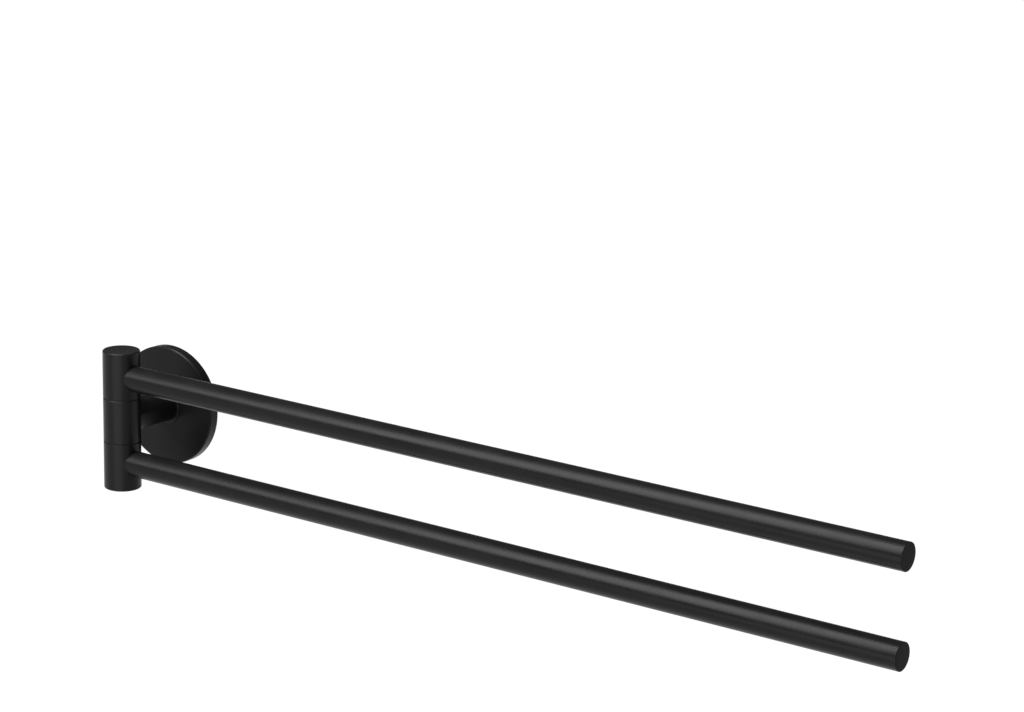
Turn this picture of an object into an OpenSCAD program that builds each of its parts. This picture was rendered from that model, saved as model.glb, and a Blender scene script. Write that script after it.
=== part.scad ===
/* [Barrel] */
// Diameter of the three-piece pivot barrel
barrel_d = 18; // [17.5:0.5:22]
// Height of the whole barrel, from its bottom face to its top face
barrel_h = 68.4; // [64:0.1:90]
// Share of the barrel's height taken by its fixed middle piece
hub_share = 0.314; // [0.28:0.002:0.35]
// Gap between the middle piece and each swinging piece, filled by a thin washer
seam_gap = 0.4; // [0.3:0.1:1]
// Bevel around the barrel's top and bottom faces
end_bevel = 0.4; // [0.2:0.1:0.7]
// Bevel on the edges beside each gap, but for the lower swinging piece
seam_bevel = 0.25; // [0.1:0.05:0.5]

/* [Arms] */
// Outside diameter of the arm tubes
arm_d = 12.5; // [11:0.5:13]
// Wall thickness of the arm tubes
arm_wall = 1.2; // [0.8:0.1:1.5]
// Distance from the pivot axis to an arm's free end
arm_reach = 425; // [150:5:600]
// Distance from the barrel's end face to the axis of the nearer arm
arm_inset = 13; // [12.7:0.1:16]
// How much smaller than the tube its root is turned, on the radius
root_relief = 0.2; // [0.1:0.05:0.3]
// Length of the pin inside the tube that carries the arm
spigot_len = 14; // [8:1:30]
// Thickness of the end cap's visible head
cap_head_t = 1.8; // [1:0.1:3]
// Bevel around the end cap's face
cap_bevel = 0.1; // [0.1:0.1:0.8]
// Length of the end cap's plug inside the tube
cap_plug_len = 8; // [5:0.5:15]
// Wall thickness of the end cap's hollow plug
cap_plug_wall = 1.2; // [0.8:0.1:2]

/* [Post] */
// Distance from the wall to the pivot axis
pivot_reach = 36; // [30:1:60]
// Diameter of the post between the cover plate and the barrel
post_d = 15; // [13.5:0.5:16]
// Diameter of the low collar at the foot of the post
foot_d = 18; // [17:0.5:24]
// Height of the low collar at the foot of the post
foot_t = 0.8; // [0.5:0.1:2]
// Bevel on the collar's front edge
foot_bevel = 0.4; // [0.2:0.1:0.45]

/* [Cover plate] */
// Diameter of the round cover plate on the wall
cover_d = 58.5; // [56:0.5:80]
// Depth of the cover plate, from the wall to its front face
cover_t = 5; // [4.6:0.1:8]
// Bevel around the cover plate's front face
cover_bevel = 0.5; // [0.2:0.1:1]
// Thickness of the cover plate's front wall
cover_front_t = 1.8; // [1.2:0.1:1.9]
// Thickness of the cover plate's rim
cover_rim_t = 4.25; // [3.9:0.05:6]
// Diameter of the boss behind the cover plate's front wall
boss_d = 20; // [16:1:22]

/* [Wall plate] */
// Thickness of the steel plate that is screwed to the wall
plate_t = 2.6; // [2.4:0.1:3]
// Distance between the two wall screws
screw_spacing = 34; // [31:1:38]
// Diameter of the holes for the wall screws
screw_hole_d = 4.6; // [3.5:0.1:5]
// Diameter of the countersinks for the wall screws
screw_sink_d = 8.6; // [7:0.1:9]

/* [Pivot] */
// Diameter of the steel spindle through the barrel
spindle_d = 8; // [7:0.5:8.5]
// Wall thickness of the plastic bushes on the spindle
bush_wall = 1; // [0.6:0.1:1]
// Thickness of the flush cap in each end of the barrel
lid_t = 2.1; // [1.5:0.1:2.3]
// Wall left around the flush cap
lid_rim = 0.8; // [0.75:0.05:1.2]
// Depth of each spindle screw's head
head_t = 2.2; // [1.8:0.1:2.3]
// Diameter of each spindle screw's head
head_d = 7.6; // [6:0.1:9]
// Thickness of each retaining washer
keeper_t = 0.8; // [0.5:0.1:1]
// Diameter of each retaining washer
keeper_d = 13; // [11:0.5:13.2]
// Height of each disc spring as fitted
spring_h = 0.8; // [0.7:0.05:0.9]
// Thickness of the metal of each disc spring
spring_t = 0.5; // [0.3:0.05:0.6]

/* [Screws] */
// Thread diameter of the spindle screws
small_thread_d = 4; // [3:0.5:5]
// Thread length of each spindle screw
small_thread_len = 10; // [6:1:14]
// Thread diameter of the long bolt through the post
bolt_d = 6; // [5:0.5:6]
// Head diameter of the long bolt through the post
bolt_head_d = 12; // [11:0.5:13]
// Diameter of the long bolt's nose, which sits in the spindle
nose_d = 4.8; // [3.5:0.1:4.8]
// Depth of the long bolt's nose in the spindle
nose_len = 2.2; // [1.5:0.1:2.4]
// Diameter of the grub screw that locks the cover plate
grub_d = 3; // [2.5:0.5:3]
// Length of the grub screw that locks the cover plate
grub_len = 4; // [3:0.5:4.5]
// Distance from the wall to the grub screw's axis
grub_offset = 2.2; // [2:0.1:2.5]

/* [Hidden] */
$fn = 96;
hex_sides = 6;
quarter_turn = 90;

// Small details, as shares of the piece that they are on
boss_gap_share = 0.19;
hex_depth_share = 0.55;
grub_hex_share = 0.58;
bolt_hex_share = 0.38;
screw_hex_share = 0.62;
tip_bevel_share = 0.125;
thread_bevel_share = 0.25;
spindle_bevel_share = 0.08;
washer_bevel_share = 0.125;
spigot_bevel_share = 0.1;
plug_bevel_share = 0.3;
lid_bevel_share = 0.05;
sharp_edge_share = 0.2;
crown_share = 0.5;
dome_rim_share = 0.25;
dome_steps = 12;

// Clearances, as shares of the barrel's diameter
fit_gap = barrel_d / 900;
turn_gap = barrel_d / 600;
slack = barrel_d / 360;
cut_over = barrel_d / 18;
plate_gap = barrel_d / 36;
pocket_gap = barrel_d / 36;
socket_wall = barrel_d / 15;

// Radii
barrel_r = barrel_d / 2;
arm_r = arm_d / 2;
arm_bore_r = arm_r - arm_wall;
root_r = arm_r - root_relief;
spigot_r = arm_bore_r - slack;
post_r = post_d / 2;
cover_r = cover_d / 2;
cavity_r = cover_r - cover_rim_t;
plate_r = cavity_r - plate_gap;
boss_r = boss_d / 2;
plate_hole_r = boss_r + plate_gap;
spindle_r = spindle_d / 2;
bush_r = spindle_r + turn_gap + bush_wall;
lid_r = barrel_r - lid_rim;
thread_r = small_thread_d / 2;
keeper_r = keeper_d / 2;
pocket_r = keeper_r + pocket_gap;
bolt_r = bolt_d / 2;
bolt_head_r = bolt_head_d / 2;
nose_r = nose_d / 2;
grub_r = grub_d / 2;
screw_hole_r = screw_hole_d / 2;
screw_sink_r = screw_sink_d / 2;

// Heights on the pivot axis, measured up from the middle of the barrel
top_z = barrel_h / 2;
hub_z = top_z * hub_share;
knuckle_z = hub_z + seam_gap;
arm_z = top_z - arm_inset;
lid_z = top_z - lid_t;
head_z = lid_z - slack * 2 - head_t;
spindle_z = head_z - keeper_t;
floor_z = spindle_z - spring_h - slack;

// Depths from the wall, measured out into the room
cover_floor = cover_t - cover_front_t;
boss_back = cover_floor * boss_gap_share;
bolt_head_back = boss_back + slack * 2;
bolt_cone_end = bolt_head_back + bolt_head_r - bolt_r;
bolt_end = pivot_reach - spindle_r - slack * 6;
nose_end = pivot_reach - spindle_r + nose_len;
nose_hole_end = nose_end + pocket_gap;

// Distances along an arm, measured out from the pivot axis
socket_x = bush_r + socket_wall;
root_x = socket_x + slack * 2;
shoulder_x = barrel_r + slack * 4;
spigot_end_x = barrel_r + spigot_len;
arm_end_x = arm_reach - cap_head_t;

// A turned piece about the upright axis, with its outer edges bevelled
module turned(inner, outer, low, high, bevel_low = 0, bevel_high = 0) {
    low_edge = bevel_low > 0
        ? [[outer - bevel_low, low], [outer, low + bevel_low]]
        : [[outer, low]];
    high_edge = bevel_high > 0
        ? [[outer, high - bevel_high], [outer - bevel_high, high]]
        : [[outer, high]];
    rotate_extrude()
        polygon(concat([[inner, low]], low_edge, high_edge, [[inner, high]]));
}

// Lays a piece drawn upright along an arm, at the arm's height
module along_arm() {
    translate([0, -pivot_reach, arm_z])
        rotate([0, quarter_turn, 0])
            children();
}

// Lays a piece drawn upright so that its base is on the wall and it points into the room
module out_of_wall() {
    rotate([quarter_turn, 0, 0])
        children();
}

// Stands a piece on the pivot axis
module on_pivot() {
    translate([0, -pivot_reach, 0])
        children();
}

// Turns an upper piece into the matching lower one
module below() {
    mirror([0, 0, 1])
        children();
}

module wall_plate() {
    color("silver")
        out_of_wall()
            difference() {
                turned(plate_hole_r, plate_r, 0, plate_t);
                for (side = [-1, 1])
                    translate([0, side * screw_spacing / 2, 0])
                        wall_screw_hole();
            }
}

// Straight at the wall, then countersunk out to the plate's front face
module wall_screw_hole() {
    sink_h = screw_sink_r - screw_hole_r;
    translate([0, 0, -cut_over])
        cylinder(h = plate_t + cut_over * 2, r = screw_hole_r);
    translate([0, 0, plate_t - sink_h])
        cylinder(h = sink_h, r1 = screw_hole_r, r2 = screw_sink_r);
    translate([0, 0, plate_t])
        cylinder(h = cut_over, r = screw_sink_r);
}

module cover_plate() {
    color([0.07, 0.07, 0.075])
        difference() {
            out_of_wall()
                difference() {
                    turned(0, cover_r, 0, cover_t, 0, cover_bevel);
                    cover_cavity();
                    bolt_seat();
                }
            translate([0, -grub_offset, -cover_r - cut_over])
                cylinder(h = cover_rim_t + cut_over * 2, r = grub_r + fit_gap);
        }
}

// The hollow behind the front wall, around the central boss
module cover_cavity() {
    turned(boss_r, cavity_r, boss_back, cover_floor);
    translate([0, 0, -cut_over])
        cylinder(h = boss_back + cut_over, r = cavity_r);
}

// The countersunk seat of the long bolt, open towards the wall
module bolt_seat() {
    cylinder(h = bolt_head_back, r = bolt_head_r + slack);
    translate([0, 0, bolt_head_back])
        cylinder(h = bolt_head_r - bolt_r, r1 = bolt_head_r + slack, r2 = bolt_r + slack);
    cylinder(h = cover_t + cut_over, r = bolt_r + slack);
}

module cover_grub_screw() {
    tip = -plate_r - fit_gap;
    hex_depth = grub_len * hex_depth_share;
    color("dimgray")
        translate([0, -grub_offset, tip - grub_len])
            difference() {
                turned(0, grub_r, 0, grub_len, 0, grub_d * tip_bevel_share);
                translate([0, 0, -cut_over])
                    cylinder(h = hex_depth + cut_over, d = grub_d * grub_hex_share, $fn = hex_sides);
            }
}

module post() {
    color([0.08, 0.08, 0.085])
        difference() {
            out_of_wall()
                difference() {
                    union() {
                        turned(0, foot_d / 2, cover_t, cover_t + foot_t, 0, foot_bevel);
                        turned(0, post_r, cover_t, pivot_reach);
                    }
                    cylinder(h = pivot_reach, r = bolt_r + slack * 3);
                }
            on_pivot()
                cylinder(h = barrel_h, r = barrel_r + fit_gap, center = true);
        }
}

module post_bolt() {
    hex_depth = bolt_d * hex_depth_share;
    color("gainsboro")
        out_of_wall()
            difference() {
                rotate_extrude()
                    polygon([
                        [0, bolt_head_back],
                        [bolt_head_r, bolt_head_back],
                        [bolt_r, bolt_cone_end],
                        [bolt_r, bolt_end],
                        [nose_r, bolt_end + slack * 2],
                        [nose_r, nose_end],
                        [0, nose_end]]);
                translate([0, 0, bolt_head_back - cut_over])
                    cylinder(h = hex_depth + cut_over, d = bolt_head_d * bolt_hex_share, $fn = hex_sides);
            }
}

module hub() {
    color([0.08, 0.08, 0.085])
        difference() {
            on_pivot()
                turned(spindle_r + fit_gap, barrel_r, -hub_z, hub_z, seam_bevel, seam_bevel);
            out_of_wall()
                cylinder(h = pivot_reach, r = bolt_r + fit_gap);
        }
}

module spindle() {
    edge = spindle_r * spindle_bevel_share;
    color("lightgray")
        difference() {
            on_pivot()
                turned(0, spindle_r, -spindle_z, spindle_z, edge, edge);
            out_of_wall()
                cylinder(h = nose_hole_end, r = nose_r + slack);
            for (side = [0, 1])
                on_pivot()
                    mirror([0, 0, side])
                        translate([0, 0, spindle_z - small_thread_len])
                            cylinder(h = small_thread_len + cut_over, r = thread_r + fit_gap);
        }
}

// Rests on the fixed middle piece and carries the swinging one
module thrust_washer() {
    washer_r = barrel_r - seam_bevel - slack * 3;
    on_pivot()
        turned(spindle_r + slack, washer_r, hub_z, knuckle_z - slack);
}

module upper_thrust_washer() {
    color("black")
        thrust_washer();
}

module lower_thrust_washer() {
    color("black")
        below()
            thrust_washer();
}

// A shallow cone: its outer edge rests on the knuckle, its inner edge on the washer above
module disc_spring() {
    rise = spring_h - spring_t;
    inner = spindle_r + slack * 2;
    outer = keeper_r + slack * 4;
    on_pivot()
        translate([0, 0, spindle_z - spring_h])
            rotate_extrude()
                polygon([[inner, rise], [outer, 0], [outer, spring_t], [inner, spring_h]]);
}

module upper_disc_spring() {
    color("slategray")
        disc_spring();
}

module lower_disc_spring() {
    color("slategray")
        below()
            disc_spring();
}

module retaining_washer() {
    edge = keeper_t * washer_bevel_share;
    on_pivot()
        turned(thread_r + slack * 2, keeper_r, spindle_z, head_z, edge, edge);
}

module upper_retaining_washer() {
    color("gainsboro")
        retaining_washer();
}

module lower_retaining_washer() {
    color("gainsboro")
        below()
            retaining_washer();
}

// A domed socket screw: the dome is drawn as one arc from the rim to the crown
module spindle_screw() {
    head_r = head_d / 2;
    crown_r = head_r * crown_share;
    rim_z = head_z + head_t * dome_rim_share;
    crown_z = head_z + head_t;
    thread_end = spindle_z - small_thread_len + slack * 4;
    hex_depth = head_t * hex_depth_share;
    dome = [for (i = [0 : dome_steps])
        let (turn = quarter_turn * i / dome_steps)
        [crown_r + (head_r - crown_r) * cos(turn), rim_z + (crown_z - rim_z) * sin(turn)]];
    on_pivot()
        difference() {
            union() {
                rotate_extrude()
                    polygon(concat([[0, head_z], [head_r, head_z]], dome, [[0, crown_z]]));
                turned(0, thread_r, thread_end, rim_z, thread_r * thread_bevel_share);
            }
            translate([0, 0, crown_z - hex_depth])
                cylinder(h = hex_depth + cut_over, d = small_thread_d * screw_hex_share, $fn = hex_sides);
        }
}

module upper_spindle_screw() {
    color("gainsboro")
        spindle_screw();
}

module lower_spindle_screw() {
    color("gainsboro")
        below()
            spindle_screw();
}

// The swinging barrel piece: bored for its bush, pocketed for the screw, with a socket and pin for the arm
module knuckle(seam_edge) {
    difference() {
        union() {
            difference() {
                on_pivot()
                    turned(0, barrel_r, knuckle_z, top_z, seam_edge, end_bevel);
                along_arm()
                    translate([0, 0, socket_x])
                        cylinder(h = barrel_r, r = root_r + fit_gap);
            }
            along_arm()
                turned(0, spigot_r, bush_r, spigot_end_x, 0, spigot_r * spigot_bevel_share);
        }
        on_pivot() {
            cylinder(h = top_z + cut_over, r = bush_r + fit_gap);
            translate([0, 0, floor_z])
                cylinder(h = top_z, r = pocket_r);
            translate([0, 0, lid_z])
                cylinder(h = top_z, r = lid_r + fit_gap);
        }
    }
}

module upper_knuckle() {
    color([0.08, 0.08, 0.085])
        knuckle(seam_bevel);
}

// Its top edge is all but sharp, so the gap above it shows only as a dark line
module lower_knuckle() {
    color([0.08, 0.08, 0.085])
        below()
            knuckle(seam_bevel * sharp_edge_share);
}

module bush() {
    on_pivot()
        turned(spindle_r + turn_gap, bush_r, knuckle_z, floor_z);
}

module upper_bush() {
    color("ivory")
        bush();
}

module lower_bush() {
    color("ivory")
        below()
            bush();
}

// A round tube whose root is turned down a little where it enters the knuckle
module arm() {
    along_arm()
        rotate_extrude()
            polygon([
                [arm_bore_r, root_x],
                [root_r, root_x],
                [root_r, shoulder_x],
                [arm_r, shoulder_x],
                [arm_r, arm_end_x],
                [arm_bore_r, arm_end_x]]);
}

module upper_arm() {
    color([0.1, 0.1, 0.105])
        arm();
}

module lower_arm() {
    color([0.1, 0.1, 0.105])
        below()
            arm();
}

// A flat cap as wide as the tube, with a hollow plug that holds it in
module arm_cap() {
    plug_r = arm_bore_r - fit_gap;
    plug_x = arm_end_x - cap_plug_len;
    along_arm()
        difference() {
            union() {
                turned(0, plug_r, plug_x, arm_end_x, cap_plug_wall * plug_bevel_share);
                turned(0, arm_r, arm_end_x, arm_reach, 0, cap_bevel);
            }
            translate([0, 0, plug_x - cut_over])
                cylinder(h = cap_plug_len + cut_over, r = plug_r - cap_plug_wall);
        }
}

module upper_arm_cap() {
    color([0.06, 0.06, 0.065])
        arm_cap();
}

module lower_arm_cap() {
    color([0.06, 0.06, 0.065])
        below()
            arm_cap();
}

// The flush disc that closes the barrel's end
module lid() {
    edge = lid_t * lid_bevel_share;
    on_pivot()
        turned(0, lid_r, lid_z, top_z, edge, edge);
}

module upper_lid() {
    color([0.09, 0.09, 0.095])
        lid();
}

module lower_lid() {
    color([0.09, 0.09, 0.095])
        below()
            lid();
}

wall_plate();
cover_plate();
cover_grub_screw();
post();
post_bolt();
hub();
spindle();
upper_thrust_washer();
lower_thrust_washer();
upper_disc_spring();
lower_disc_spring();
upper_retaining_washer();
lower_retaining_washer();
upper_spindle_screw();
lower_spindle_screw();
upper_knuckle();
upper_bush();
upper_arm();
upper_arm_cap();
upper_lid();
lower_knuckle();
lower_bush();
lower_arm();
lower_arm_cap();
lower_lid();
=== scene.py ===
import math
import bpy
import bmesh
from mathutils import Matrix, Vector


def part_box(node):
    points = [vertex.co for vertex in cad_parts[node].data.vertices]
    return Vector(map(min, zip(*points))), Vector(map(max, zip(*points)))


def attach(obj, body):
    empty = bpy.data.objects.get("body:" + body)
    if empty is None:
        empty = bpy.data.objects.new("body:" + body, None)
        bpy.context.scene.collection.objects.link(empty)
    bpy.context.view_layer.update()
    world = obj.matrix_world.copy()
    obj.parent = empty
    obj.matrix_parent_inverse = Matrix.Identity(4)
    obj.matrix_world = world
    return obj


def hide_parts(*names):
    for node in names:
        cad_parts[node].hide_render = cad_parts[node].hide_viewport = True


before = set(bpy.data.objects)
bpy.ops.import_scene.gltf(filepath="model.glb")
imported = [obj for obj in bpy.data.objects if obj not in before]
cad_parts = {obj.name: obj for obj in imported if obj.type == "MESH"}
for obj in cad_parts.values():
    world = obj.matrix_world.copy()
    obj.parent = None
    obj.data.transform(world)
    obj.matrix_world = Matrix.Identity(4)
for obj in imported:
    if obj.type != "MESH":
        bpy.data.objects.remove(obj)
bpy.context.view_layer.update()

scene = bpy.context.scene
scene.view_settings.view_transform = "Standard"
pivotAxis = Vector((0.0, -0.036, 0.0))


def quarterTurn(steps):
    return [math.pi / 2 * step / steps for step in range(steps + 1)]


# camera: where the photograph was taken from, found from the edges of the real object
photoView = {
    "imageWidth": 1024,
    "imageHeight": 712,
    "barrelPixelX": 122.134,
    "barrelPixelY": 418.527,
    "focalPixels": 2951.0,
    "distance": 1.41971,
    "yaw": -35.351,
    "pitch": 14.836,
    "roll": 1.251,
    "sensorWidth": 36.0,
    "clipNear": 0.05,
    "clipFar": 60.0,
}


def placeCamera(view):
    yaw = math.radians(view["yaw"])
    pitch = math.radians(view["pitch"])
    roll = math.radians(view["roll"])
    ahead = Vector((
        math.sin(yaw) * math.cos(pitch),
        math.cos(yaw) * math.cos(pitch),
        -math.sin(pitch)))
    levelRight = ahead.cross(Vector((0.0, 0.0, 1.0))).normalized()
    levelUp = levelRight.cross(ahead)
    right = levelRight * math.cos(roll) + levelUp * math.sin(roll)
    up = levelUp * math.cos(roll) - levelRight * math.sin(roll)
    perPixel = view["distance"] / view["focalPixels"]
    aside = (view["barrelPixelX"] - view["imageWidth"] / 2) * perPixel
    above = (view["imageHeight"] / 2 - view["barrelPixelY"]) * perPixel
    place = pivotAxis - ahead * view["distance"] - right * aside - up * above
    data = bpy.data.cameras.new("photoCamera")
    data.sensor_fit = "HORIZONTAL"
    data.sensor_width = view["sensorWidth"]
    data.lens = view["focalPixels"] * view["sensorWidth"] / view["imageWidth"]
    data.clip_start = view["clipNear"]
    data.clip_end = view["clipFar"]
    camera = bpy.data.objects.new("photoCamera", data)
    turn = Matrix((right, up, -ahead)).transposed().to_4x4()
    camera.matrix_world = Matrix.Translation(place) @ turn
    scene.collection.objects.link(camera)
    scene.camera = camera


placeCamera(photoView)
print("camera placed")


# nodes: short ways to put one in a tree and link it, used by every material and shape tree
def addNode(tree, kind, x, y, **settings):
    node = tree.nodes.new(kind)
    node.location = (x, y)
    for name, value in settings.items():
        setattr(node, name, value)
    return node


def startTree(kind, name, inputs, outputs):
    tree = bpy.data.node_groups.new(name, kind)
    for label, socketKind, value in inputs:
        socket = tree.interface.new_socket(name=label, in_out="INPUT", socket_type=socketKind)
        if value is not None:
            socket.default_value = value
    for label, socketKind in outputs:
        tree.interface.new_socket(name=label, in_out="OUTPUT", socket_type=socketKind)
    entry = addNode(tree, "NodeGroupInput", -1100, 0)
    leave = addNode(tree, "NodeGroupOutput", 1100, 0)
    return tree, entry, leave


def mathNode(tree, operation, first, second, x, y):
    node = addNode(tree, "ShaderNodeMath", x, y, operation=operation)
    for place, value in ((0, first), (1, second)):
        if isinstance(value, (int, float)):
            node.inputs[place].default_value = value
        else:
            tree.links.new(value, node.inputs[place])
    return node.outputs[0]


def spreadNode(tree, source, spread, x, y):
    # spread: the lowest and highest value that comes in, then those that go out
    node = addNode(tree, "ShaderNodeMapRange", x, y)
    for label, value in zip(("From Min", "From Max", "To Min", "To Max"), spread):
        node.inputs[label].default_value = value
    tree.links.new(source, node.inputs["Value"])
    return node.outputs[0]


def noiseNode(tree, place, scale, detail, rough, x, y):
    noise = addNode(tree, "ShaderNodeTexNoise", x, y)
    noise.inputs["Detail"].default_value = detail
    noise.inputs["Roughness"].default_value = rough
    tree.links.new(place, noise.inputs["Vector"])
    tree.links.new(scale, noise.inputs["Scale"])
    return noise.outputs["Fac"]


def mixColour(tree, factor, first, second, x, y):
    node = addNode(tree, "ShaderNodeMix", x, y, data_type="RGBA")
    for place, value in ((0, factor), (6, first), (7, second)):
        if isinstance(value, tuple):
            node.inputs[place].default_value = value
        else:
            tree.links.new(value, node.inputs[place])
    return node.outputs[2]


# studio: a white floor that curves up into a low backdrop, plain grey walls above it, and softboxes
studio = {
    "wallsColour": (0.97, 0.98, 1.0, 1.0),
    "wallsStrength": 0.1,
    "floorGlow": (1.0, 1.0, 1.0, 1.0),
    "floorStrength": 0.97,
    "floorColour": (0.6, 0.6, 0.6, 1.0),
    "floorDrop": 2.2,
    "floorRadius": 12.0,
    "innerShare": 0.5,
    "sweepRadius": 3.2,
    "sweepSteps": 10,
    "sides": 64,
    "weld": 0.0001,
}

softboxes = {
    "keySoftbox": {
        "aim": (0.17, -0.03, 0.0),
        "azimuth": -38.0,
        "elevation": 55.0,
        "distance": 1.7,
        "width": 0.78,
        "height": 2.35,
        "radiance": 9.8,
    },
    "lowSoftbox": {
        "aim": (0.0, -0.036, 0.0),
        "azimuth": 16.0,
        "elevation": -10.0,
        "distance": 1.0,
        "width": 1.0,
        "height": 0.45,
        "radiance": 2.0,
    },
    "backSoftbox": {
        "aim": (0.17, -0.03, 0.0),
        "azimuth": 120.0,
        "elevation": 55.0,
        "distance": 1.3,
        "width": 0.9,
        "height": 0.9,
        "radiance": 0.6,
    },
}


def seenDirectly(tree, x, y):
    # one for what the camera, a mirror or a glass shows, none for what lights the object
    path = addNode(tree, "ShaderNodeLightPath", x, y).outputs
    first = mathNode(tree, "MAXIMUM", path["Is Camera Ray"], path["Is Glossy Ray"], x + 200, y)
    return mathNode(tree, "MAXIMUM", first, path["Is Transmission Ray"], x + 400, y)


def makeWorld(look):
    # the same plain grey for every ray, so what lights the object is also what a mirror shows
    world = bpy.data.worlds.new("studioWalls")
    world.use_nodes = True
    tree = world.node_tree
    tree.nodes.clear()
    walls = addNode(tree, "ShaderNodeBackground", 0, 0)
    walls.inputs["Color"].default_value = look["wallsColour"]
    walls.inputs["Strength"].default_value = look["wallsStrength"]
    out = addNode(tree, "ShaderNodeOutputWorld", 240, 0)
    tree.links.new(walls.outputs[0], out.inputs["Surface"])
    scene.world = world


def makePaleFloor(look):
    # lit like any floor, and white to whatever looks at it directly
    material = bpy.data.materials.new("paleFloor")
    material.use_nodes = True
    tree = material.node_tree
    tree.nodes.clear()
    lit = addNode(tree, "ShaderNodeBsdfDiffuse", 0, 100)
    lit.inputs["Color"].default_value = look["floorColour"]
    glow = addNode(tree, "ShaderNodeEmission", 0, -80)
    glow.inputs["Color"].default_value = look["floorGlow"]
    glow.inputs["Strength"].default_value = look["floorStrength"]
    shown = addNode(tree, "ShaderNodeAddShader", 240, -40)
    mix = addNode(tree, "ShaderNodeMixShader", 480, 0)
    out = addNode(tree, "ShaderNodeOutputMaterial", 700, 0)
    tree.links.new(lit.outputs[0], shown.inputs[0])
    tree.links.new(glow.outputs[0], shown.inputs[1])
    tree.links.new(seenDirectly(tree, -700, 0), mix.inputs[0])
    tree.links.new(lit.outputs[0], mix.inputs[1])
    tree.links.new(shown.outputs[0], mix.inputs[2])
    tree.links.new(mix.outputs[0], out.inputs["Surface"])
    return material


def makeFloor(look):
    # a disc with a rim that sweeps up, turned around the middle of the studio
    reach = look["floorRadius"]
    sweep = look["sweepRadius"]
    low = -look["floorDrop"]
    section = [(0.0, low), (reach * look["innerShare"], low)]
    for angle in quarterTurn(look["sweepSteps"]):
        section.append((reach + sweep * math.sin(angle), low + sweep * (1 - math.cos(angle))))
    shape = bmesh.new()
    verts = [shape.verts.new((radius, 0.0, height)) for radius, height in section]
    edges = [shape.edges.new(pair) for pair in zip(verts, verts[1:])]
    bmesh.ops.spin(
        shape, geom=verts + edges, cent=(0.0, 0.0, 0.0), axis=(0.0, 0.0, 1.0),
        angle=math.tau, steps=look["sides"], use_merge=True)
    bmesh.ops.remove_doubles(shape, verts=shape.verts, dist=look["weld"])
    for face in shape.faces:
        face.smooth = True
        if face.normal.z < 0.0:
            face.normal_flip()
    mesh = bpy.data.meshes.new("studioFloor")
    shape.to_mesh(mesh)
    shape.free()
    mesh.materials.append(makePaleFloor(look))
    floor = bpy.data.objects.new("studioFloor", mesh)
    scene.collection.objects.link(floor)


def directionTo(azimuth, elevation):
    # azimuth from straight out of the wall towards the arms' free ends
    around = math.radians(azimuth)
    rise = math.radians(elevation)
    return Vector((
        math.sin(around) * math.cos(rise),
        -math.cos(around) * math.cos(rise),
        math.sin(rise)))


def placeSoftbox(name, box):
    data = bpy.data.lights.new(name, "AREA")
    data.shape = "RECTANGLE"
    data.size = box["width"]
    data.size_y = box["height"]
    data.energy = box["radiance"] * math.pi * box["width"] * box["height"]
    lamp = bpy.data.objects.new(name, data)
    towards = directionTo(box["azimuth"], box["elevation"])
    lamp.location = Vector(box["aim"]) + towards * box["distance"]
    lamp.rotation_euler = towards.to_track_quat("Z", "Y").to_euler()
    lamp.visible_camera = False
    scene.collection.objects.link(lamp)


makeWorld(studio)
makeFloor(studio)
for boxName, boxSizes in softboxes.items():
    placeSoftbox(boxName, boxSizes)
print("studio lit")


# shader groups: effects that more than one finish uses
def startGroup(name, inputs, outputs):
    group, entry, leave = startTree("ShaderNodeTree", name, inputs, outputs)
    place = addNode(group, "ShaderNodeTexCoord", -1100, -300).outputs["Object"]
    return group, entry, leave, place


def linkTone(group, entry, leave, cloud, fine):
    # a tone between the dark and the pale one, and a roughness that follows it
    tone = mathNode(group, "ADD", cloud, fine, -160, 120)
    colour = mixColour(group, tone, entry.outputs["Dark Tone"], entry.outputs["Pale Tone"], 100, 160)
    rough = addNode(group, "ShaderNodeMapRange", 100, -60)
    group.links.new(tone, rough.inputs["Value"])
    group.links.new(entry.outputs["Low Roughness"], rough.inputs["To Min"])
    group.links.new(entry.outputs["High Roughness"], rough.inputs["To Max"])
    group.links.new(colour, leave.inputs["Colour"])
    group.links.new(rough.outputs[0], leave.inputs["Roughness"])


def linkMask(group, entry, leave, first, second):
    # both masks in one, turned down by the wanted amount
    both = mathNode(group, "MULTIPLY", first, second, 100, 0)
    mask = mathNode(group, "MULTIPLY", both, entry.outputs["Amount"], 320, 0)
    group.links.new(mask, leave.inputs["Mask"])


powderGrain = {
    "cloudDetail": 3.0,
    "cloudRough": 0.5,
    "cloudSpread": (0.3, 0.7, 0.0, 0.7),
    "grainDetail": 2.0,
    "grainRough": 0.6,
    "grainSpread": (0.35, 0.65, 0.0, 0.3),
    "grainHeight": 0.25,
    "peelDetail": 1.0,
    "peelRough": 0.5,
}


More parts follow.
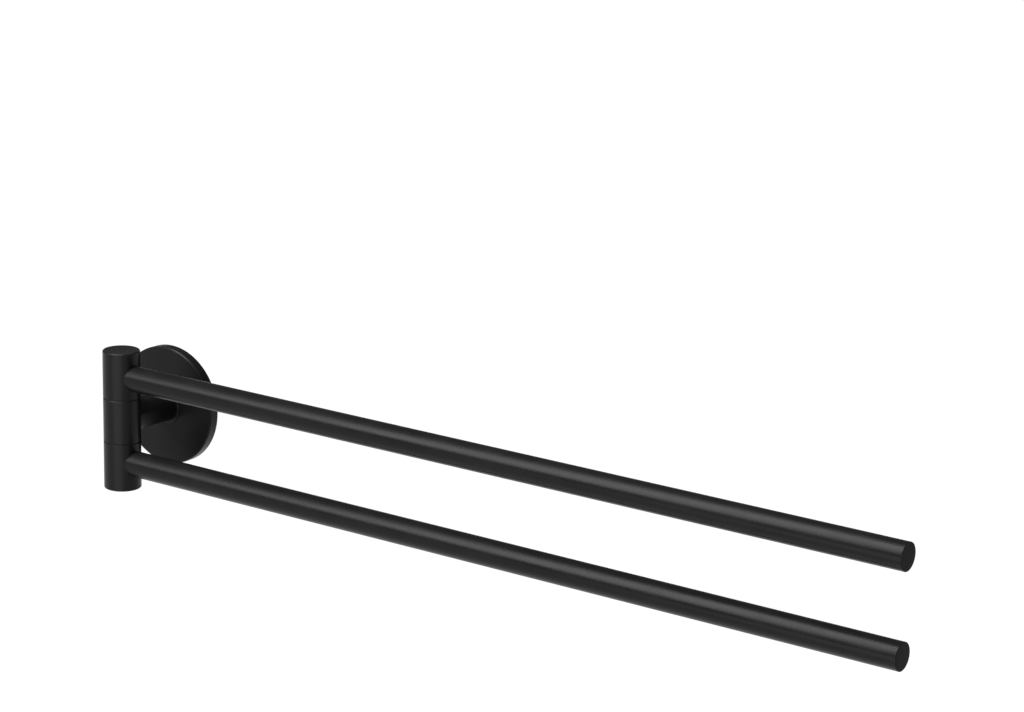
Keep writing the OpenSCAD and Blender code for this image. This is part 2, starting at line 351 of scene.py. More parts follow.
def makePowderGrain(look):
    # baked powder paint: slow clouding of the tone, fine grains and a low orange peel
    group, entry, leave, place = startGroup(
        "powderGrain",
        [("Dark Tone", "NodeSocketColor", (0.02, 0.02, 0.02, 1.0)),
         ("Pale Tone", "NodeSocketColor", (0.04, 0.04, 0.04, 1.0)),
         ("Cloud Scale", "NodeSocketFloat", 60.0),
         ("Grain Scale", "NodeSocketFloat", 2400.0),
         ("Peel Scale", "NodeSocketFloat", 900.0),
         ("Low Roughness", "NodeSocketFloat", 0.4),
         ("High Roughness", "NodeSocketFloat", 0.55)],
        [("Colour", "NodeSocketColor"),
         ("Roughness", "NodeSocketFloat"),
         ("Height", "NodeSocketFloat")])
    cloud = noiseNode(
        group, place, entry.outputs["Cloud Scale"], look["cloudDetail"], look["cloudRough"], -600, 200)
    grain = noiseNode(
        group, place, entry.outputs["Grain Scale"], look["grainDetail"], look["grainRough"], -600, -40)
    peel = noiseNode(
        group, place, entry.outputs["Peel Scale"], look["peelDetail"], look["peelRough"], -600, -300)
    cloudShare = spreadNode(group, cloud, look["cloudSpread"], -380, 200)
    grainShare = spreadNode(group, grain, look["grainSpread"], -380, -40)
    linkTone(group, entry, leave, cloudShare, grainShare)
    fineGrain = mathNode(group, "MULTIPLY", grain, look["grainHeight"], -160, -200)
    height = mathNode(group, "ADD", peel, fineGrain, 100, -300)
    group.links.new(height, leave.inputs["Height"])
    return group


# rubbed edges: partly real wear, partly a painted highlight along the edges
rubbedEdgeAndHighlight = {
    "bevelSamples": 6,
    "edgeSpread": (0.995, 0.8, 0.0, 1.0),
    "breakDetail": 3.0,
    "breakRough": 0.6,
    "breakSpread": (0.4, 0.65, 0.25, 1.0),
}


def makeRubbedEdgeAndHighlight(look):
    # edges where hands and towels have polished the finish, also used as a painted highlight along the
    # edges, broken up by a noise
    group, entry, leave, place = startGroup(
        "rubbedEdgeAndHighlight",
        [("Edge Width", "NodeSocketFloat", 0.0004),
         ("Break Scale", "NodeSocketFloat", 300.0),
         ("Amount", "NodeSocketFloat", 0.5)],
        [("Mask", "NodeSocketFloat")])
    rounded = addNode(group, "ShaderNodeBevel", -600, 120, samples=look["bevelSamples"])
    group.links.new(entry.outputs["Edge Width"], rounded.inputs["Radius"])
    flat = addNode(group, "ShaderNodeNewGeometry", -600, -60)
    align = addNode(group, "ShaderNodeVectorMath", -380, 60, operation="DOT_PRODUCT")
    group.links.new(rounded.outputs[0], align.inputs[0])
    group.links.new(flat.outputs["Normal"], align.inputs[1])
    edge = spreadNode(group, align.outputs["Value"], look["edgeSpread"], -160, 60)
    breakUp = noiseNode(
        group, place, entry.outputs["Break Scale"], look["breakDetail"], look["breakRough"], -600, -300)
    linkMask(group, entry, leave, edge, spreadNode(group, breakUp, look["breakSpread"], -160, -240))
    return group


restingDust = {
    "upwardSpread": (0.55, 1.0, 0.0, 1.0),
    "patchDetail": 5.0,
    "patchRough": 0.65,
    "patchSpread": (0.35, 0.7, 0.2, 1.0),
}


def makeRestingDust(look):
    # a thin film of dust on what faces up
    group, entry, leave, place = startGroup(
        "restingDust",
        [("Patch Scale", "NodeSocketFloat", 90.0),
         ("Amount", "NodeSocketFloat", 0.3)],
        [("Mask", "NodeSocketFloat")])
    facing = addNode(group, "ShaderNodeNewGeometry", -600, 100)
    parts = addNode(group, "ShaderNodeSeparateXYZ", -380, 100)
    group.links.new(facing.outputs["Normal"], parts.inputs[0])
    upward = spreadNode(group, parts.outputs["Z"], look["upwardSpread"], -160, 100)
    patches = noiseNode(
        group, place, entry.outputs["Patch Scale"], look["patchDetail"], look["patchRough"], -600, -240)
    linkMask(group, entry, leave, upward, spreadNode(group, patches, look["patchSpread"], -160, -240))
    return group


toolMarks = {
    "markDetail": 4.0,
    "markRough": 0.7,
    "markSpread": (0.35, 0.65, 0.0, 0.4),
    "cloudDetail": 3.0,
    "cloudRough": 0.5,
    "cloudSpread": (0.3, 0.7, 0.0, 0.6),
}


def makeToolMarks(look):
    # fine marks that a lathe or a press leaves on bare metal, and clouding of its plating
    group, entry, leave, place = startGroup(
        "toolMarks",
        [("Dark Tone", "NodeSocketColor", (0.5, 0.5, 0.5, 1.0)),
         ("Pale Tone", "NodeSocketColor", (0.7, 0.7, 0.7, 1.0)),
         ("Mark Stretch", "NodeSocketVector", (1.0, 1.0, 30.0)),
         ("Mark Scale", "NodeSocketFloat", 250.0),
         ("Cloud Scale", "NodeSocketFloat", 120.0),
         ("Low Roughness", "NodeSocketFloat", 0.2),
         ("High Roughness", "NodeSocketFloat", 0.4)],
        [("Colour", "NodeSocketColor"),
         ("Roughness", "NodeSocketFloat"),
         ("Height", "NodeSocketFloat")])
    stretch = addNode(group, "ShaderNodeVectorMath", -820, -160, operation="MULTIPLY")
    group.links.new(place, stretch.inputs[0])
    group.links.new(entry.outputs["Mark Stretch"], stretch.inputs[1])
    marks = noiseNode(
        group, stretch.outputs[0], entry.outputs["Mark Scale"], look["markDetail"], look["markRough"],
        -600, -100)
    cloud = noiseNode(
        group, place, entry.outputs["Cloud Scale"], look["cloudDetail"], look["cloudRough"], -600, 200)
    cloudShare = spreadNode(group, cloud, look["cloudSpread"], -380, 200)
    markShare = spreadNode(group, marks, look["markSpread"], -380, -40)
    linkTone(group, entry, leave, cloudShare, markShare)
    group.links.new(marks, leave.inputs["Height"])
    return group


groups = {
    "powderGrain": makePowderGrain(powderGrain),
    "rubbedEdgeAndHighlight": makeRubbedEdgeAndHighlight(rubbedEdgeAndHighlight),
    "restingDust": makeRestingDust(restingDust),
    "toolMarks": makeToolMarks(toolMarks),
}
print("shader groups built")


# finishes: every one is painted, plated, ground or moulded by the groups above
paintLook = {
    "dustColour": (0.08, 0.078, 0.075, 1.0),
    # colour of the rubbed edges, lighter than the paint: worn paint and a painted edge highlight
    "rubbedHighlightColour": (0.07, 0.07, 0.073, 1.0),
    "rubbedPolish": -0.12,
    "blueness": 1.02,
    "bumpStrength": 0.25,
    "bumpDistance": 0.00004,
}

blackPowder = {"dark": 0.006, "pale": 0.01, "rough": (0.30, 0.38), "specular": 0.145}
# rub: how much edge wear and painted edge highlight each paint shows
paints = {
    "black_cover": dict(blackPowder, rubAndHighlight=0.8, dust=0.05),
    "black_post": dict(blackPowder, rubAndHighlight=0.4, dust=0.05),
    "black_barrel": dict(blackPowder, rubAndHighlight=0.6, dust=0.03),
    "black_arm": dict(blackPowder, rubAndHighlight=0.5, dust=0.04),
    "black_lid": dict(blackPowder, rubAndHighlight=0.5, dust=0.03),
    "black_cap": {
        "dark": 0.006, "pale": 0.01, "rough": (0.50, 0.60), "specular": 0.06, "rubAndHighlight": 0.4, "dust": 0.03},
}

metalLook = {
    "metallic": 1.0,
    "bumpStrength": 0.2,
    "bumpDistance": 0.00003,
}

metals = {
    "zinc_plate": {
        "dark": (0.50, 0.52, 0.55, 1.0), "pale": (0.68, 0.69, 0.68, 1.0),
        "stretch": (1.0, 1.0, 1.0), "marks": 220.0, "cloud": 90.0, "rough": (0.32, 0.5)},
    "bright_screw": {
        "dark": (0.55, 0.56, 0.58, 1.0), "pale": (0.72, 0.72, 0.70, 1.0),
        "stretch": (1.0, 14.0, 1.0), "marks": 400.0, "cloud": 260.0, "rough": (0.22, 0.38)},
    "black_screw": {
        "dark": (0.035, 0.035, 0.038, 1.0), "pale": (0.07, 0.07, 0.072, 1.0),
        "stretch": (1.0, 1.0, 10.0), "marks": 700.0, "cloud": 400.0, "rough": (0.4, 0.55)},
    "ground_steel": {
        "dark": (0.46, 0.46, 0.47, 1.0), "pale": (0.62, 0.62, 0.62, 1.0),
        "stretch": (1.0, 1.0, 40.0), "marks": 160.0, "cloud": 200.0, "rough": (0.14, 0.26)},
    "spring_steel": {
        "dark": (0.24, 0.24, 0.26, 1.0), "pale": (0.4, 0.39, 0.38, 1.0),
        "stretch": (1.0, 1.0, 12.0), "marks": 300.0, "cloud": 240.0, "rough": (0.28, 0.44)},
}

plasticLook = {
    "blueness": 1.02,
    "cloudScale": 140.0,
    "grainScale": 3200.0,
    "peelScale": 1600.0,
    "bumpStrength": 0.2,
    "bumpDistance": 0.00002,
}

plastics = {
    "black_nylon": {"dark": 0.012, "pale": 0.02, "rough": (0.5, 0.62), "specular": 0.3},
    "white_bush": {"dark": 0.66, "pale": 0.74, "rough": (0.42, 0.55), "specular": 0.45},
}


def startFinish(name):
    material = bpy.data.materials.new(name)
    material.use_nodes = True
    tree = material.node_tree
    tree.nodes.clear()
    shader = addNode(tree, "ShaderNodeBsdfPrincipled", 500, 0)
    out = addNode(tree, "ShaderNodeOutputMaterial", 800, 0)
    tree.links.new(shader.outputs[0], out.inputs["Surface"])
    return material, tree, shader


def useGroup(tree, name, x, y, values):
    node = addNode(tree, "ShaderNodeGroup", x, y)
    node.node_tree = groups[name]
    for label, value in values.items():
        node.inputs[label].default_value = value
    return node.outputs


def addBump(tree, shader, height, look):
    bump = addNode(tree, "ShaderNodeBump", 260, -320)
    bump.inputs["Strength"].default_value = look["bumpStrength"]
    bump.inputs["Distance"].default_value = look["bumpDistance"]
    tree.links.new(height, bump.inputs["Height"])
    tree.links.new(bump.outputs[0], shader.inputs["Normal"])


def grey(value, blueness):
    return (value, value, value * blueness, 1.0)


def makePaint(name, paint, look):
    material, tree, shader = startFinish(name)
    shader.inputs["Specular IOR Level"].default_value = paint["specular"]
    powder = useGroup(tree, "powderGrain", -500, 100, {
        "Dark Tone": grey(paint["dark"], look["blueness"]),
        "Pale Tone": grey(paint["pale"], look["blueness"]),
        "Low Roughness": paint["rough"][0],
        "High Roughness": paint["rough"][1]})
    rubbedAndHighlight = useGroup(tree, "rubbedEdgeAndHighlight", -500, -200, {"Amount": paint["rubAndHighlight"]})
    dust = useGroup(tree, "restingDust", -500, -360, {"Amount": paint["dust"]})
    # rubbed edges lightened: worn paint and a painted highlight along the edges
    colour = mixColour(tree, rubbedAndHighlight["Mask"], powder["Colour"], look["rubbedHighlightColour"], -200, 160)
    colour = mixColour(tree, dust["Mask"], colour, look["dustColour"], 60, 160)
    polish = mathNode(tree, "MULTIPLY", rubbedAndHighlight["Mask"], look["rubbedPolish"], -200, -60)
    rough = mathNode(tree, "ADD", powder["Roughness"], polish, 60, -60)
    tree.links.new(colour, shader.inputs["Base Color"])
    tree.links.new(rough, shader.inputs["Roughness"])
    addBump(tree, shader, powder["Height"], look)
    return material


def makeMetal(name, metal, look):
    material, tree, shader = startFinish(name)
    shader.inputs["Metallic"].default_value = look["metallic"]
    marks = useGroup(tree, "toolMarks", -400, 100, {
        "Dark Tone": metal["dark"],
        "Pale Tone": metal["pale"],
        "Mark Stretch": metal["stretch"],
        "Mark Scale": metal["marks"],
        "Cloud Scale": metal["cloud"],
        "Low Roughness": metal["rough"][0],
        "High Roughness": metal["rough"][1]})
    tree.links.new(marks["Colour"], shader.inputs["Base Color"])
    tree.links.new(marks["Roughness"], shader.inputs["Roughness"])
    addBump(tree, shader, marks["Height"], look)
    return material


def makePlastic(name, plastic, look):
    material, tree, shader = startFinish(name)
    shader.inputs["Specular IOR Level"].default_value = plastic["specular"]
    grain = useGroup(tree, "powderGrain", -400, 100, {
        "Dark Tone": grey(plastic["dark"], look["blueness"]),
        "Pale Tone": grey(plastic["pale"], look["blueness"]),
        "Cloud Scale": look["cloudScale"],
        "Grain Scale": look["grainScale"],
        "Peel Scale": look["peelScale"],
        "Low Roughness": plastic["rough"][0],
        "High Roughness": plastic["rough"][1]})
    tree.links.new(grain["Colour"], shader.inputs["Base Color"])
    tree.links.new(grain["Roughness"], shader.inputs["Roughness"])
    addBump(tree, shader, grain["Height"], look)
    return material


finishes = {}
for paintName, paint in paints.items():
    finishes[paintName] = makePaint(paintName + "_paint", paint, paintLook)
for metalName, metal in metals.items():
    finishes[metalName] = makeMetal(metalName + "_metal", metal, metalLook)
for plasticName, plastic in plastics.items():
    finishes[plasticName] = makePlastic(plasticName + "_plastic", plastic, plasticLook)

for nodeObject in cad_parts.values():
    for slotPlace in nodeObject.material_slots:
        wanted = slotPlace.material.name.split(".")[0]
        slotPlace.material = finishes[wanted]
print("finishes on", len(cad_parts), "nodes")


# shape trees: what they make ends in shading, real geometry and a finish
def endTree(tree, entry, leave, source, smooth):
    shade = addNode(tree, "GeometryNodeSetShadeSmooth", 400, 0)
    shade.inputs["Shade Smooth"].default_value = smooth
    whole = addNode(tree, "GeometryNodeRealizeInstances", 620, 0)
    finish = addNode(tree, "GeometryNodeSetMaterial", 840, 0)
    tree.links.new(source, shade.inputs["Geometry"])
    tree.links.new(shade.outputs["Geometry"], whole.inputs["Geometry"])
    tree.links.new(whole.outputs["Geometry"], finish.inputs["Geometry"])
    tree.links.new(entry.outputs["Finish"], finish.inputs["Material"])
    tree.links.new(finish.outputs["Geometry"], leave.inputs[0])


turning = {
    "railRadius": 0.001,
    "merge": 0.000002,
    "weld": 0.000001,
    "normalWeight": 100,
}


def makeTurningTree(sizes):
    # a section drawn beside its axis, its corners softened, turned once around
    tree, entry, leave = startTree(
        "GeometryNodeTree", "turnedSection",
        [("Section", "NodeSocketGeometry", None),
         ("Corner Radius", "NodeSocketFloat", 0.0001),
         ("Corner Steps", "NodeSocketInt", 1),
         ("Sides", "NodeSocketInt", 96),
         ("Finish", "NodeSocketMaterial", None)],
        [("Piece", "NodeSocketGeometry")])
    outline = addNode(tree, "GeometryNodeMeshToCurve", -700, 100)
    corners = addNode(tree, "GeometryNodeFilletCurve", -500, 100, mode="POLY")
    corners.inputs["Limit Radius"].default_value = True
    shift = addNode(tree, "GeometryNodeSetPosition", -300, 100)
    shift.inputs["Offset"].default_value = (-sizes["railRadius"], 0.0, 0.0)
    rail = addNode(tree, "GeometryNodeCurvePrimitiveCircle", -500, -200)
    rail.inputs["Radius"].default_value = sizes["railRadius"]
    upright = addNode(tree, "GeometryNodeSetCurveNormal", -300, -200, mode="Z_UP")
    sweep = addNode(tree, "GeometryNodeCurveToMesh", -80, 0)
    merge = addNode(tree, "GeometryNodeMergeByDistance", 140, 0)
    merge.inputs["Distance"].default_value = sizes["merge"]
    tree.links.new(entry.outputs["Section"], outline.inputs["Mesh"])
    tree.links.new(outline.outputs["Curve"], corners.inputs["Curve"])
    tree.links.new(entry.outputs["Corner Radius"], corners.inputs["Radius"])
    tree.links.new(entry.outputs["Corner Steps"], corners.inputs["Count"])
    tree.links.new(corners.outputs["Curve"], shift.inputs["Geometry"])
    tree.links.new(entry.outputs["Sides"], rail.inputs["Resolution"])
    tree.links.new(rail.outputs["Curve"], upright.inputs["Curve"])
    tree.links.new(upright.outputs["Curve"], sweep.inputs["Curve"])
    tree.links.new(shift.outputs["Geometry"], sweep.inputs["Profile Curve"])
    tree.links.new(sweep.outputs["Mesh"], merge.inputs["Geometry"])
    endTree(tree, entry, leave, merge.outputs["Geometry"], True)
    return tree


def bakeTree(name, mesh, tree, values):
    # the tree's result as a plain mesh, with no modifier left
    draft = bpy.data.objects.new(name + "_draft", mesh)
    scene.collection.objects.link(draft)
    modifier = draft.modifiers.new("tree", "NODES")
    modifier.node_group = tree
    for item in tree.interface.items_tree:
        if item.in_out == "INPUT" and item.name in values:
            modifier[item.identifier] = values[item.name]
    bpy.context.view_layer.update()
    evaluated = draft.evaluated_get(bpy.context.evaluated_depsgraph_get())
    result = bpy.data.meshes.new_from_object(evaluated)
    bpy.data.objects.remove(draft)
    return result


turningTree = makeTurningTree(turning)


def turnSection(name, section, closed, soft, finishName):
    # section: radius and height of each corner; soft: how its corners are rounded, and the sides around
    outline = bpy.data.meshes.new(name + "_section")
    count = len(section)
    edges = [(i, (i + 1) % count) for i in range(count if closed else count - 1)]
    outline.from_pydata([(radius, -height, 0.0) for radius, height in section], edges, [])
    return bakeTree(name, outline, turningTree, {
        "Corner Radius": soft["cornerRadius"],
        "Corner Steps": soft["cornerSteps"],
        "Sides": soft["sides"],
        "Finish": finishes[finishName]})


def turnPiece(name, section, closed, soft, place, finishName):
    # place: from the upright axis to the piece's own place
    mesh = turnSection(name, section, closed, soft, finishName)
    shape = bmesh.new()
    shape.from_mesh(mesh)
    bmesh.ops.transform(shape, matrix=place, verts=shape.verts)
    bmesh.ops.remove_doubles(shape, verts=shape.verts, dist=turning["weld"])
    bmesh.ops.recalc_face_normals(shape, faces=shape.faces)
    for face in shape.faces:
        face.smooth = True
    shape.to_mesh(mesh)
    shape.free()
    piece = bpy.data.objects.new(name, mesh)
    scene.collection.objects.link(piece)
    weighted = piece.modifiers.new("weighted", "WEIGHTED_NORMAL")
    weighted.mode = "FACE_AREA"
    weighted.weight = turning["normalWeight"]
    evaluated = piece.evaluated_get(bpy.context.evaluated_depsgraph_get())
    piece.data = bpy.data.meshes.new_from_object(evaluated)
    piece.data.name = name
    piece.modifiers.clear()
    return piece


def alongArm(height):
    # lays a piece turned upright along an arm at the given height
    return Matrix.Translation((0.0, pivotAxis.y, height)) @ Matrix.Rotation(math.pi / 2, 4, "Y")


def onPivot(height, upsideDown):
    place = Matrix.Translation((0.0, pivotAxis.y, height))
    if upsideDown:
        place = place @ Matrix.Rotation(math.pi, 4, "X")
    return place


# arms: two straight tubes, turned down a little at the root
armTube = {
    "wall": 0.0012,
    "rootRelief": 0.0002,
    "shoulder": 0.0092,
    "shoulderSlope": 0.0002,
    "cornerRadius": 0.00004,
    "cornerSteps": 1,
    "sides": 96,
}


def makeArm(side):
    nodeName = side + "_arm"
    low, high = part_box(nodeName)
    middle = (low.z + high.z) / 2
    outer = (high.z - low.z) / 2
    bore = outer - armTube["wall"]
    root = outer - armTube["rootRelief"]
    shoulder = armTube["shoulder"]
    section = [
        (bore, low.x),
        (root, low.x),
        (root, shoulder),
        (outer, shoulder + armTube["shoulderSlope"]),
        (outer, high.x),
        (bore, high.x)]
    tube = turnPiece(side + "ArmTube", section, True, armTube, alongArm(middle), "black_arm")
    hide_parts(nodeName)
    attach(tube, side + "_swing_arm")


# end caps: a flush head with a soft rim and a hollow plug inside the tube
armCap = {
    "plugWall": 0.0012,
    "plugGap": 0.00002,
    "plugEdge": 0.00009,
    "faceRound": 0.00014,
    "roundSteps": 6,
    "faceRise": 0.00004,
    "faceSteps": 6,
    "backEdge": 0.00003,
    "cornerRadius": 0.00001,
    "cornerSteps": 1,
    "sides": 96,
}


def paintRim(cap, axis, radius):
    # the rim is sprayed with the arm, and the face stays as it was moulded
    cap.data.materials.append(finishes["black_arm"])
    for face in cap.data.polygons:
        out = face.center - axis
        if math.hypot(out.y, out.z) > radius:
            face.material_index = 1


def makeArmCap(side):
    nodeName = side + "_arm_cap"
    low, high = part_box(nodeName)
    middle = (low.z + high.z) / 2
    outer = (high.z - low.z) / 2
    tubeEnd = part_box(side + "_arm")[1].x
    plug = outer - armTube["wall"] - armCap["plugGap"]
    hollow = plug - armCap["plugWall"]
    plugEdge = armCap["plugEdge"]
    back = armCap["backEdge"]
    turn = armCap["faceRound"]
    rim = outer - turn
    faceEdge = high.x - armCap["faceRise"]
    section = [
        (0.0, tubeEnd), (hollow, tubeEnd), (hollow, low.x), (plug - plugEdge, low.x),
        (plug, low.x + plugEdge), (plug, tubeEnd), (outer - back, tubeEnd), (outer, tubeEnd + back)]
    for angle in quarterTurn(armCap["roundSteps"]):
        section.append((rim + turn * math.cos(angle), faceEdge - turn + turn * math.sin(angle)))
    for step in range(1, armCap["faceSteps"]):
        share = 1 - step / armCap["faceSteps"]
        section.append((rim * share, high.x - armCap["faceRise"] * share * share))
    section.append((0.0, high.x))
    cap = turnPiece(side + "ArmEndCap", section, False, armCap, alongArm(middle), "black_cap")
    paintRim(cap, Vector((0.0, pivotAxis.y, middle)), outer - turn / 2)
    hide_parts(nodeName)
    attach(cap, side + "_swing_arm")


for armSide in ("upper", "lower"):
    makeArm(armSide)
    makeArmCap(armSide)
print("arms and end caps turned")


# lids: flush discs in the barrel's ends, with a soft edge that shows their seam
barrelLid = {
    "edgeRound": 0.00018,
    "roundSteps": 4,
    "dish": 0.00004,
    "dishShare": 0.6,
    "cornerRadius": 0.00001,
    "cornerSteps": 1,
    "sides": 96,
}


def makeLid(side):
    nodeName = side + "_lid"
    low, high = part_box(nodeName)
    radius = (high.x - low.x) / 2
    depth = high.z - low.z
    soft = barrelLid["edgeRound"]
    section = [(0.0, 0.0), (radius - soft, 0.0), (radius, soft)]
    for angle in quarterTurn(barrelLid["roundSteps"]):
        section.append((radius - soft + soft * math.cos(angle), depth - soft + soft * math.sin(angle)))
    section.append((radius * barrelLid["dishShare"], depth - barrelLid["dish"] * barrelLid["dishShare"]))
    section.append((0.0, depth - barrelLid["dish"]))
    place = onPivot(high.z, True) if side == "lower" else onPivot(low.z, False)
    lid = turnPiece(side + "BarrelLid", section, False, barrelLid, place, "black_lid")
    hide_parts(nodeName)
    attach(lid, side + "_swing_arm")


for lidSide in ("upper", "lower"):
    makeLid(lidSide)
print("lids turned")


# screws: a turned head with a hexagon socket, and a thread wound around its core
threadWinding = {
    "flankShare": 0.46,
    "middleShare": 0.5,
    "ridgeCorners": 4,
    "ridgeSize": 1.0,
    "steps": 32,
}


def makeThreadTree(sizes):
    # a ridge with sloping flanks that follows a helix, half a pitch in from either end
    tree, entry, leave = startTree(
        "GeometryNodeTree", "woundThread",
        [("Outer Radius", "NodeSocketFloat", 0.003),
         ("Depth", "NodeSocketFloat", 0.0004),
         ("Pitch", "NodeSocketFloat", 0.001),
         ("Length", "NodeSocketFloat", 0.01),
         ("Steps", "NodeSocketInt", 36),
         ("Finish", "NodeSocketMaterial", None)],
        [("Thread", "NodeSocketGeometry")])
    wanted = entry.outputs
    core = mathNode(tree, "SUBTRACT", wanted["Outer Radius"], wanted["Depth"], -880, 200)
    wound = mathNode(tree, "SUBTRACT", wanted["Length"], wanted["Pitch"], -880, 40)
    turns = mathNode(tree, "DIVIDE", wound, wanted["Pitch"], -700, 40)
    flank = mathNode(tree, "MULTIPLY", wanted["Pitch"], sizes["flankShare"], -880, -200)
    halfPitch = mathNode(tree, "MULTIPLY", wanted["Pitch"], sizes["middleShare"], -880, -520)
    helix = addNode(tree, "GeometryNodeCurveSpiral", -500, 160)
    upright = addNode(tree, "GeometryNodeSetCurveNormal", -300, 160, mode="Z_UP")
    ridge = addNode(tree, "GeometryNodeCurvePrimitiveCircle", -500, -100)
    ridge.inputs["Resolution"].default_value = sizes["ridgeCorners"]
    ridge.inputs["Radius"].default_value = sizes["ridgeSize"]
    ridgeSize = addNode(tree, "ShaderNodeCombineXYZ", -500, -260)
    ridgeSize.inputs["Z"].default_value = sizes["ridgeSize"]
    shaped = addNode(tree, "GeometryNodeTransform", -300, -100)
    sweep = addNode(tree, "GeometryNodeCurveToMesh", -80, 100)
    sweep.inputs["Fill Caps"].default_value = True
    rise = addNode(tree, "ShaderNodeCombineXYZ", -80, -60)
    raised = addNode(tree, "GeometryNodeTransform", 140, 100)
    tree.links.new(wanted["Steps"], helix.inputs["Resolution"])
    tree.links.new(turns, helix.inputs["Rotations"])
    tree.links.new(core, helix.inputs["Start Radius"])
    tree.links.new(core, helix.inputs["End Radius"])
    tree.links.new(wound, helix.inputs["Height"])
    tree.links.new(helix.outputs["Curve"], upright.inputs["Curve"])
    tree.links.new(wanted["Depth"], ridgeSize.inputs["X"])
    tree.links.new(flank, ridgeSize.inputs["Y"])
    tree.links.new(ridge.outputs["Curve"], shaped.inputs["Geometry"])
    tree.links.new(ridgeSize.outputs[0], shaped.inputs["Scale"])
    tree.links.new(upright.outputs["Curve"], sweep.inputs["Curve"])
    tree.links.new(shaped.outputs["Geometry"], sweep.inputs["Profile Curve"])
    tree.links.new(sweep.outputs["Mesh"], raised.inputs["Geometry"])
    tree.links.new(halfPitch, rise.inputs["Z"])
    tree.links.new(rise.outputs[0], raised.inputs["Translation"])
    endTree(tree, entry, leave, raised.outputs["Geometry"], False)
    return tree


threadTree = makeThreadTree(threadWinding)

screwMaking = {
    "hexagonSides": 6,
    "sharpAngle": 32.0,
    "cornerRadius": 0.000005,
    "cornerSteps": 1,
    "sides": 48,
}


def combine(mesh, other, operation):
    # the first mesh with the second one added to it or cut out of it, as one closed skin
    block = bpy.data.objects.new("block", mesh)
    tool = bpy.data.objects.new("tool", other)
    scene.collection.objects.link(block)
    scene.collection.objects.link(tool)
    work = block.modifiers.new("combine", "BOOLEAN")
    work.operation = operation
    work.solver = "EXACT"
    work.object = tool
    bpy.context.view_layer.update()
    evaluated = block.evaluated_get(bpy.context.evaluated_depsgraph_get())
    result = bpy.data.meshes.new_from_object(evaluated)
    bpy.data.objects.remove(block)
    bpy.data.objects.remove(tool)
    return result


def hexagonBar(across, depth):
    # stands half below and half above the socket's mouth
    mesh = bpy.data.meshes.new("hexagonBar")
    shape = bmesh.new()
    bmesh.ops.create_cone(
        shape, cap_ends=True, segments=screwMaking["hexagonSides"],
        radius1=across, radius2=across, depth=depth * 2)
    shape.to_mesh(mesh)
    shape.free()
    return mesh


def windThread(name, screw, winding, finishName):
    empty = bpy.data.meshes.new(name + "_start")
    thread = bakeTree(name, empty, threadTree, {
        "Outer Radius": winding["radius"],
        "Depth": screw["threadDepth"],
        "Pitch": screw["pitch"],
        "Length": winding["length"],
        "Steps": threadWinding["steps"],
        "Finish": finishes[finishName]})
    thread.transform(Matrix.Translation((0.0, 0.0, winding["start"])))
    return thread


def makeScrew(name, screw, section, winding, place, finishName, body, nodeName):
    # drawn standing on its socket end at height nought, with the point upwards
    mesh = turnSection(name, section, False, screwMaking, finishName)
    mesh = combine(mesh, windThread(name, screw, winding, finishName), "UNION")
    mesh = combine(mesh, hexagonBar(screw["socket"], screw["socketDepth"]), "DIFFERENCE")
    shape = bmesh.new()
    shape.from_mesh(mesh)
    bmesh.ops.transform(shape, matrix=place, verts=shape.verts)
    bmesh.ops.recalc_face_normals(shape, faces=shape.faces)
    shape.to_mesh(mesh)
    shape.free()
    mesh.materials.clear()
    mesh.materials.append(finishes[finishName])
    mesh.set_sharp_from_angle(angle=math.radians(screwMaking["sharpAngle"]))
    piece = bpy.data.objects.new(name, mesh)
    scene.collection.objects.link(piece)
    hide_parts(nodeName)
    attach(piece, body)


# long bolt: countersunk head at the wall, plain shank through the post, nose in the spindle
postBolt = {
    "socket": 0.00228,
    "socketDepth": 0.0033,
    "shank": 0.003,
    "threadDepth": 0.00042,
    "pitch": 0.001,
    "threadLength": 0.012,
    "threadRunOut": 0.0004,
    "threadEdge": 0.0002,
    "headEdge": 0.00025,
    "nose": 0.0024,
    "noseLength": 0.0025,
    "noseEdge": 0.0005,
}


def makePostBolt():
    low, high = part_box("post_bolt")
    head = (high.x - low.x) / 2
    length = high.y - low.y
    shank = postBolt["shank"]
    core = shank - postBolt["threadDepth"]
    nose = postBolt["nose"]
    headEdge = postBolt["headEdge"]
    noseEdge = postBolt["noseEdge"]
    threadEnd = length - postBolt["noseLength"]
    threadStart = threadEnd - postBolt["threadLength"]
    section = [
        (0.0, 0.0), (head - headEdge, 0.0), (head, headEdge), (shank, head - shank),
        (shank, threadStart - postBolt["threadRunOut"]), (core, threadStart),
        (core, threadEnd - postBolt["threadEdge"]), (nose, threadEnd),
        (nose, length - noseEdge), (nose - noseEdge, length), (0.0, length)]
    winding = {"radius": shank, "start": threadStart, "length": postBolt["threadLength"]}
    place = Matrix.Translation((0.0, high.y, 0.0)) @ Matrix.Rotation(math.pi / 2, 4, "X")
    makeScrew("longBolt", postBolt, section, winding, place, "bright_screw", "wall_mount", "post_bolt")


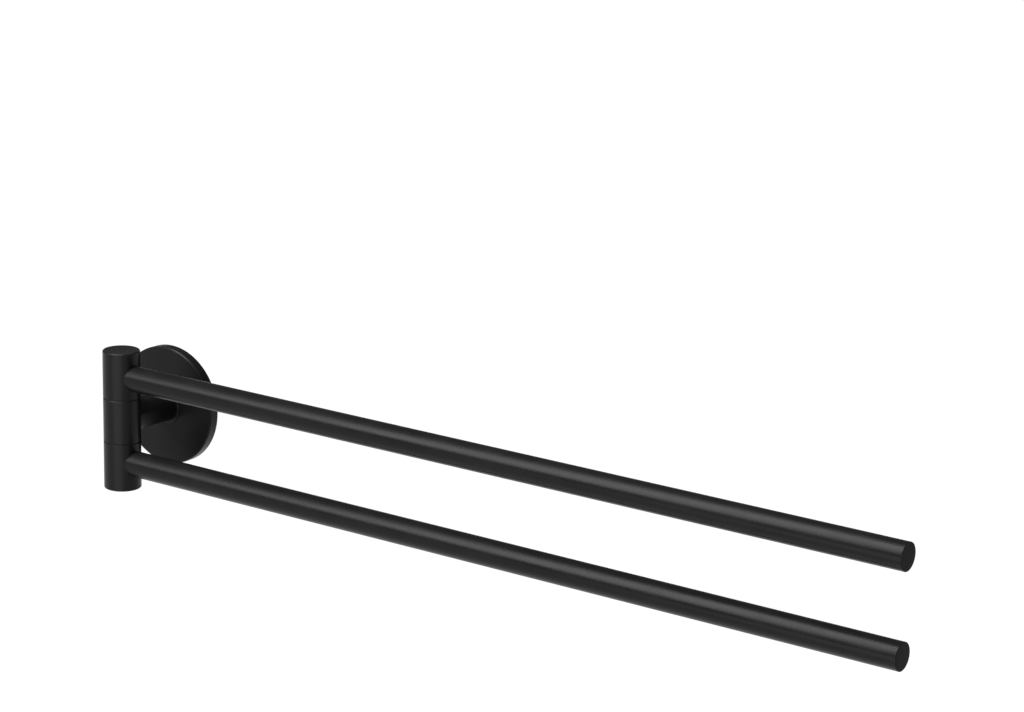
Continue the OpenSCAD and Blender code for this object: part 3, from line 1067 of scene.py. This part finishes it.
# spindle screws: a domed head on the retaining washer, threaded into the spindle's end
spindleScrew = {
    "socket": 0.00124,
    "socketDepth": 0.00121,
    "thread": 0.002,
    "threadDepth": 0.0003,
    "pitch": 0.0007,
    "threadGap": 0.0003,
    "headDepth": 0.0022,
    "crownShare": 0.5,
    "domeShare": 0.75,
    "domeSteps": 8,
    "tipLength": 0.0005,
    "tipEdge": 0.0004,
}


def makeSpindleScrew(side):
    nodeName = side + "_spindle_screw"
    low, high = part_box(nodeName)
    head = (high.x - low.x) / 2
    length = high.z - low.z
    headDepth = spindleScrew["headDepth"]
    gap = spindleScrew["threadGap"]
    core = spindleScrew["thread"] - spindleScrew["threadDepth"]
    crown = head * spindleScrew["crownShare"]
    dome = headDepth * spindleScrew["domeShare"]
    section = [(0.0, 0.0)]
    for angle in quarterTurn(spindleScrew["domeSteps"]):
        section.append((crown + (head - crown) * math.sin(angle), dome * (1 - math.cos(angle))))
    section += [
        (head, headDepth), (core, headDepth), (core, length - spindleScrew["tipLength"]),
        (core - spindleScrew["tipEdge"], length), (0.0, length)]
    winding = {
        "radius": spindleScrew["thread"], "start": headDepth + gap, "length": length - headDepth - gap * 2}
    place = onPivot(low.z, False) if side == "lower" else onPivot(high.z, True)
    makeScrew(
        side + "SpindleScrew", spindleScrew, section, winding, place, "bright_screw", "wall_mount", nodeName)


# grub screw: no head, its socket at the bottom of the cover's rim
grubScrew = {
    "socket": 0.00087,
    "socketDepth": 0.0022,
    "threadDepth": 0.00024,
    "pitch": 0.0005,
    "threadGap": 0.0002,
    "tipEdge": 0.0003,
}


def makeGrubScrew():
    low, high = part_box("cover_grub_screw")
    radius = (high.x - low.x) / 2
    length = high.z - low.z
    gap = grubScrew["threadGap"]
    edge = grubScrew["tipEdge"]
    core = radius - grubScrew["threadDepth"]
    section = [(0.0, 0.0), (core, 0.0), (core, length - edge), (core - edge, length), (0.0, length)]
    winding = {"radius": radius, "start": gap, "length": length - gap * 2}
    place = Matrix.Translation(((low.x + high.x) / 2, (low.y + high.y) / 2, low.z))
    makeScrew(
        "coverGrubScrew", grubScrew, section, winding, place,
        "black_screw", "wall_mount", "cover_grub_screw")


makePostBolt()
makeSpindleScrew("upper")
makeSpindleScrew("lower")
makeGrubScrew()
print("screws cut")
